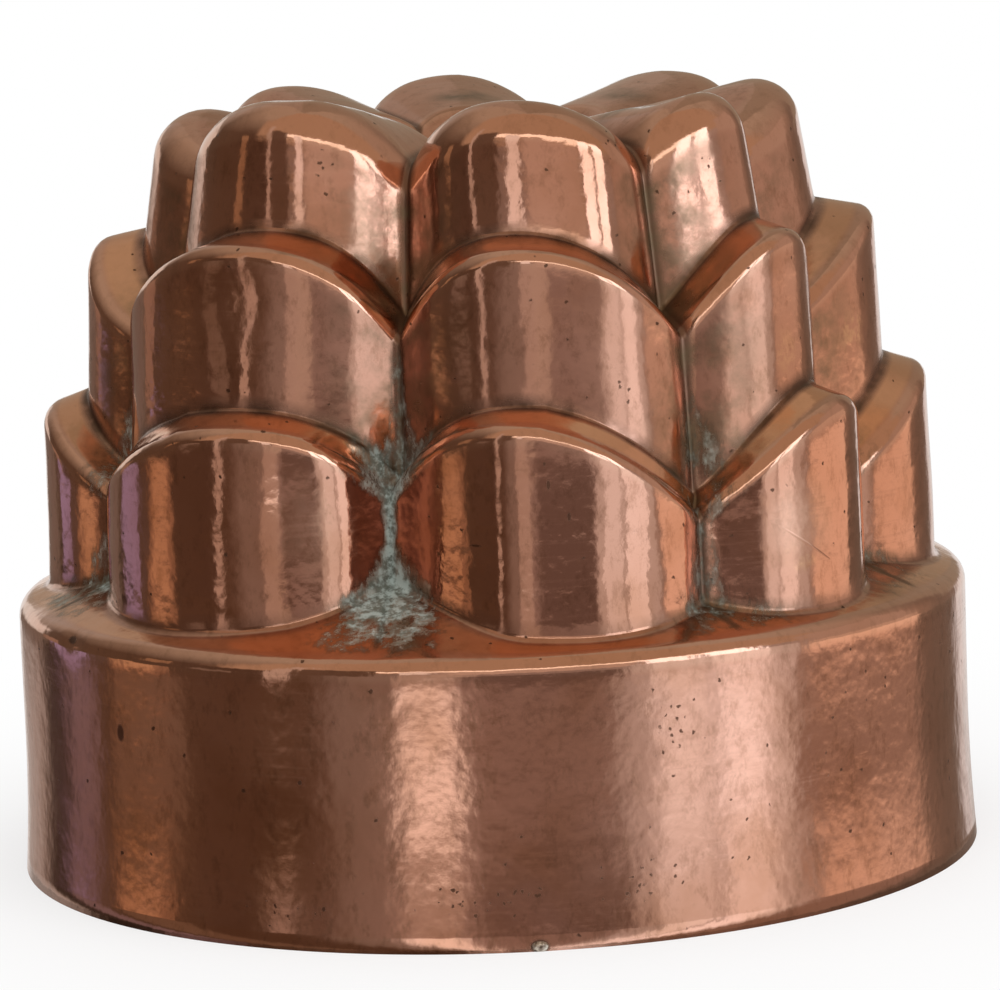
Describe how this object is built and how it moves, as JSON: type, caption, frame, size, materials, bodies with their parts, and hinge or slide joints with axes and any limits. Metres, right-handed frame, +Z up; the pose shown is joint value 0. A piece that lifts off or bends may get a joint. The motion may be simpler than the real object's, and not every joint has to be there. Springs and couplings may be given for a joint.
{
  "type": "copper jelly mould",
  "caption": "Round copper jelly mould: a plain band under a stepped crown of arched petals round a central well, open at its rim.",
  "frame": {"origin": "centre of the rim plane, on which the mould stands", "axes": "+Z up the axis from the open rim to the crown; one column of petals faces -Y"},
  "size_m": [0.15, 0.15, 0.12],
  "materials": {
    "copper": "old polished copper with fine scratches, pits and green-grey verdigris in the creases"
  },
  "bodies": {
    "root": {"mould_shell": "copper"}
  },
  "joints": []
}
